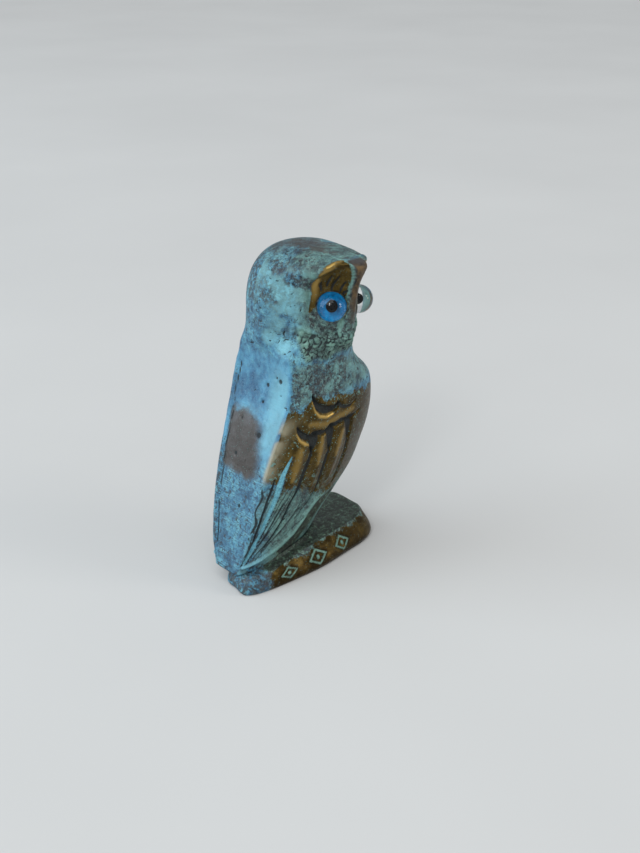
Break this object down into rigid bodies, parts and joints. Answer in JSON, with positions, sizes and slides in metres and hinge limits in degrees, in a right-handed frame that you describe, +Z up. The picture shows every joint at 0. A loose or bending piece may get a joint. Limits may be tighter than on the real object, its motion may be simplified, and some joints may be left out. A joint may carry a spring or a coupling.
{
  "type": "owl figurine",
  "caption": "Small cast brass owl in profile with its head turned sideways, flat back, feathered wings, bulging glass eyes, on a low plinth cast in one piece, with worn blue-green patina",
  "frame": {"origin": "middle of the flat resting face under the plinth", "axes": "+X the way the body points, from tail to chest; -Y the side that the face looks over; +Z up"},
  "size_m": [0.0346, 0.0243, 0.0594],
  "materials": {
    "casting": "cast brass, polished on the wings and discs, under worn blue-green patina",
    "eye_glass": "clear polished glass",
    "eye_pupil": "opaque black glass",
    "eye_iris": "blue enamel on the back of the glass",
    "eye_cement": "clear cement, slightly cloudy"
  },
  "bodies": {
    "root": {"owl_casting": "casting", "eye_glass_right": "eye_glass", "eye_pupil_right": "eye_pupil", "eye_iris_right": "eye_iris", "eye_cement_right": "eye_cement", "eye_glass_left": "eye_glass", "eye_pupil_left": "eye_pupil", "eye_iris_left": "eye_iris", "eye_cement_left": "eye_cement"}
  },
  "joints": []
}
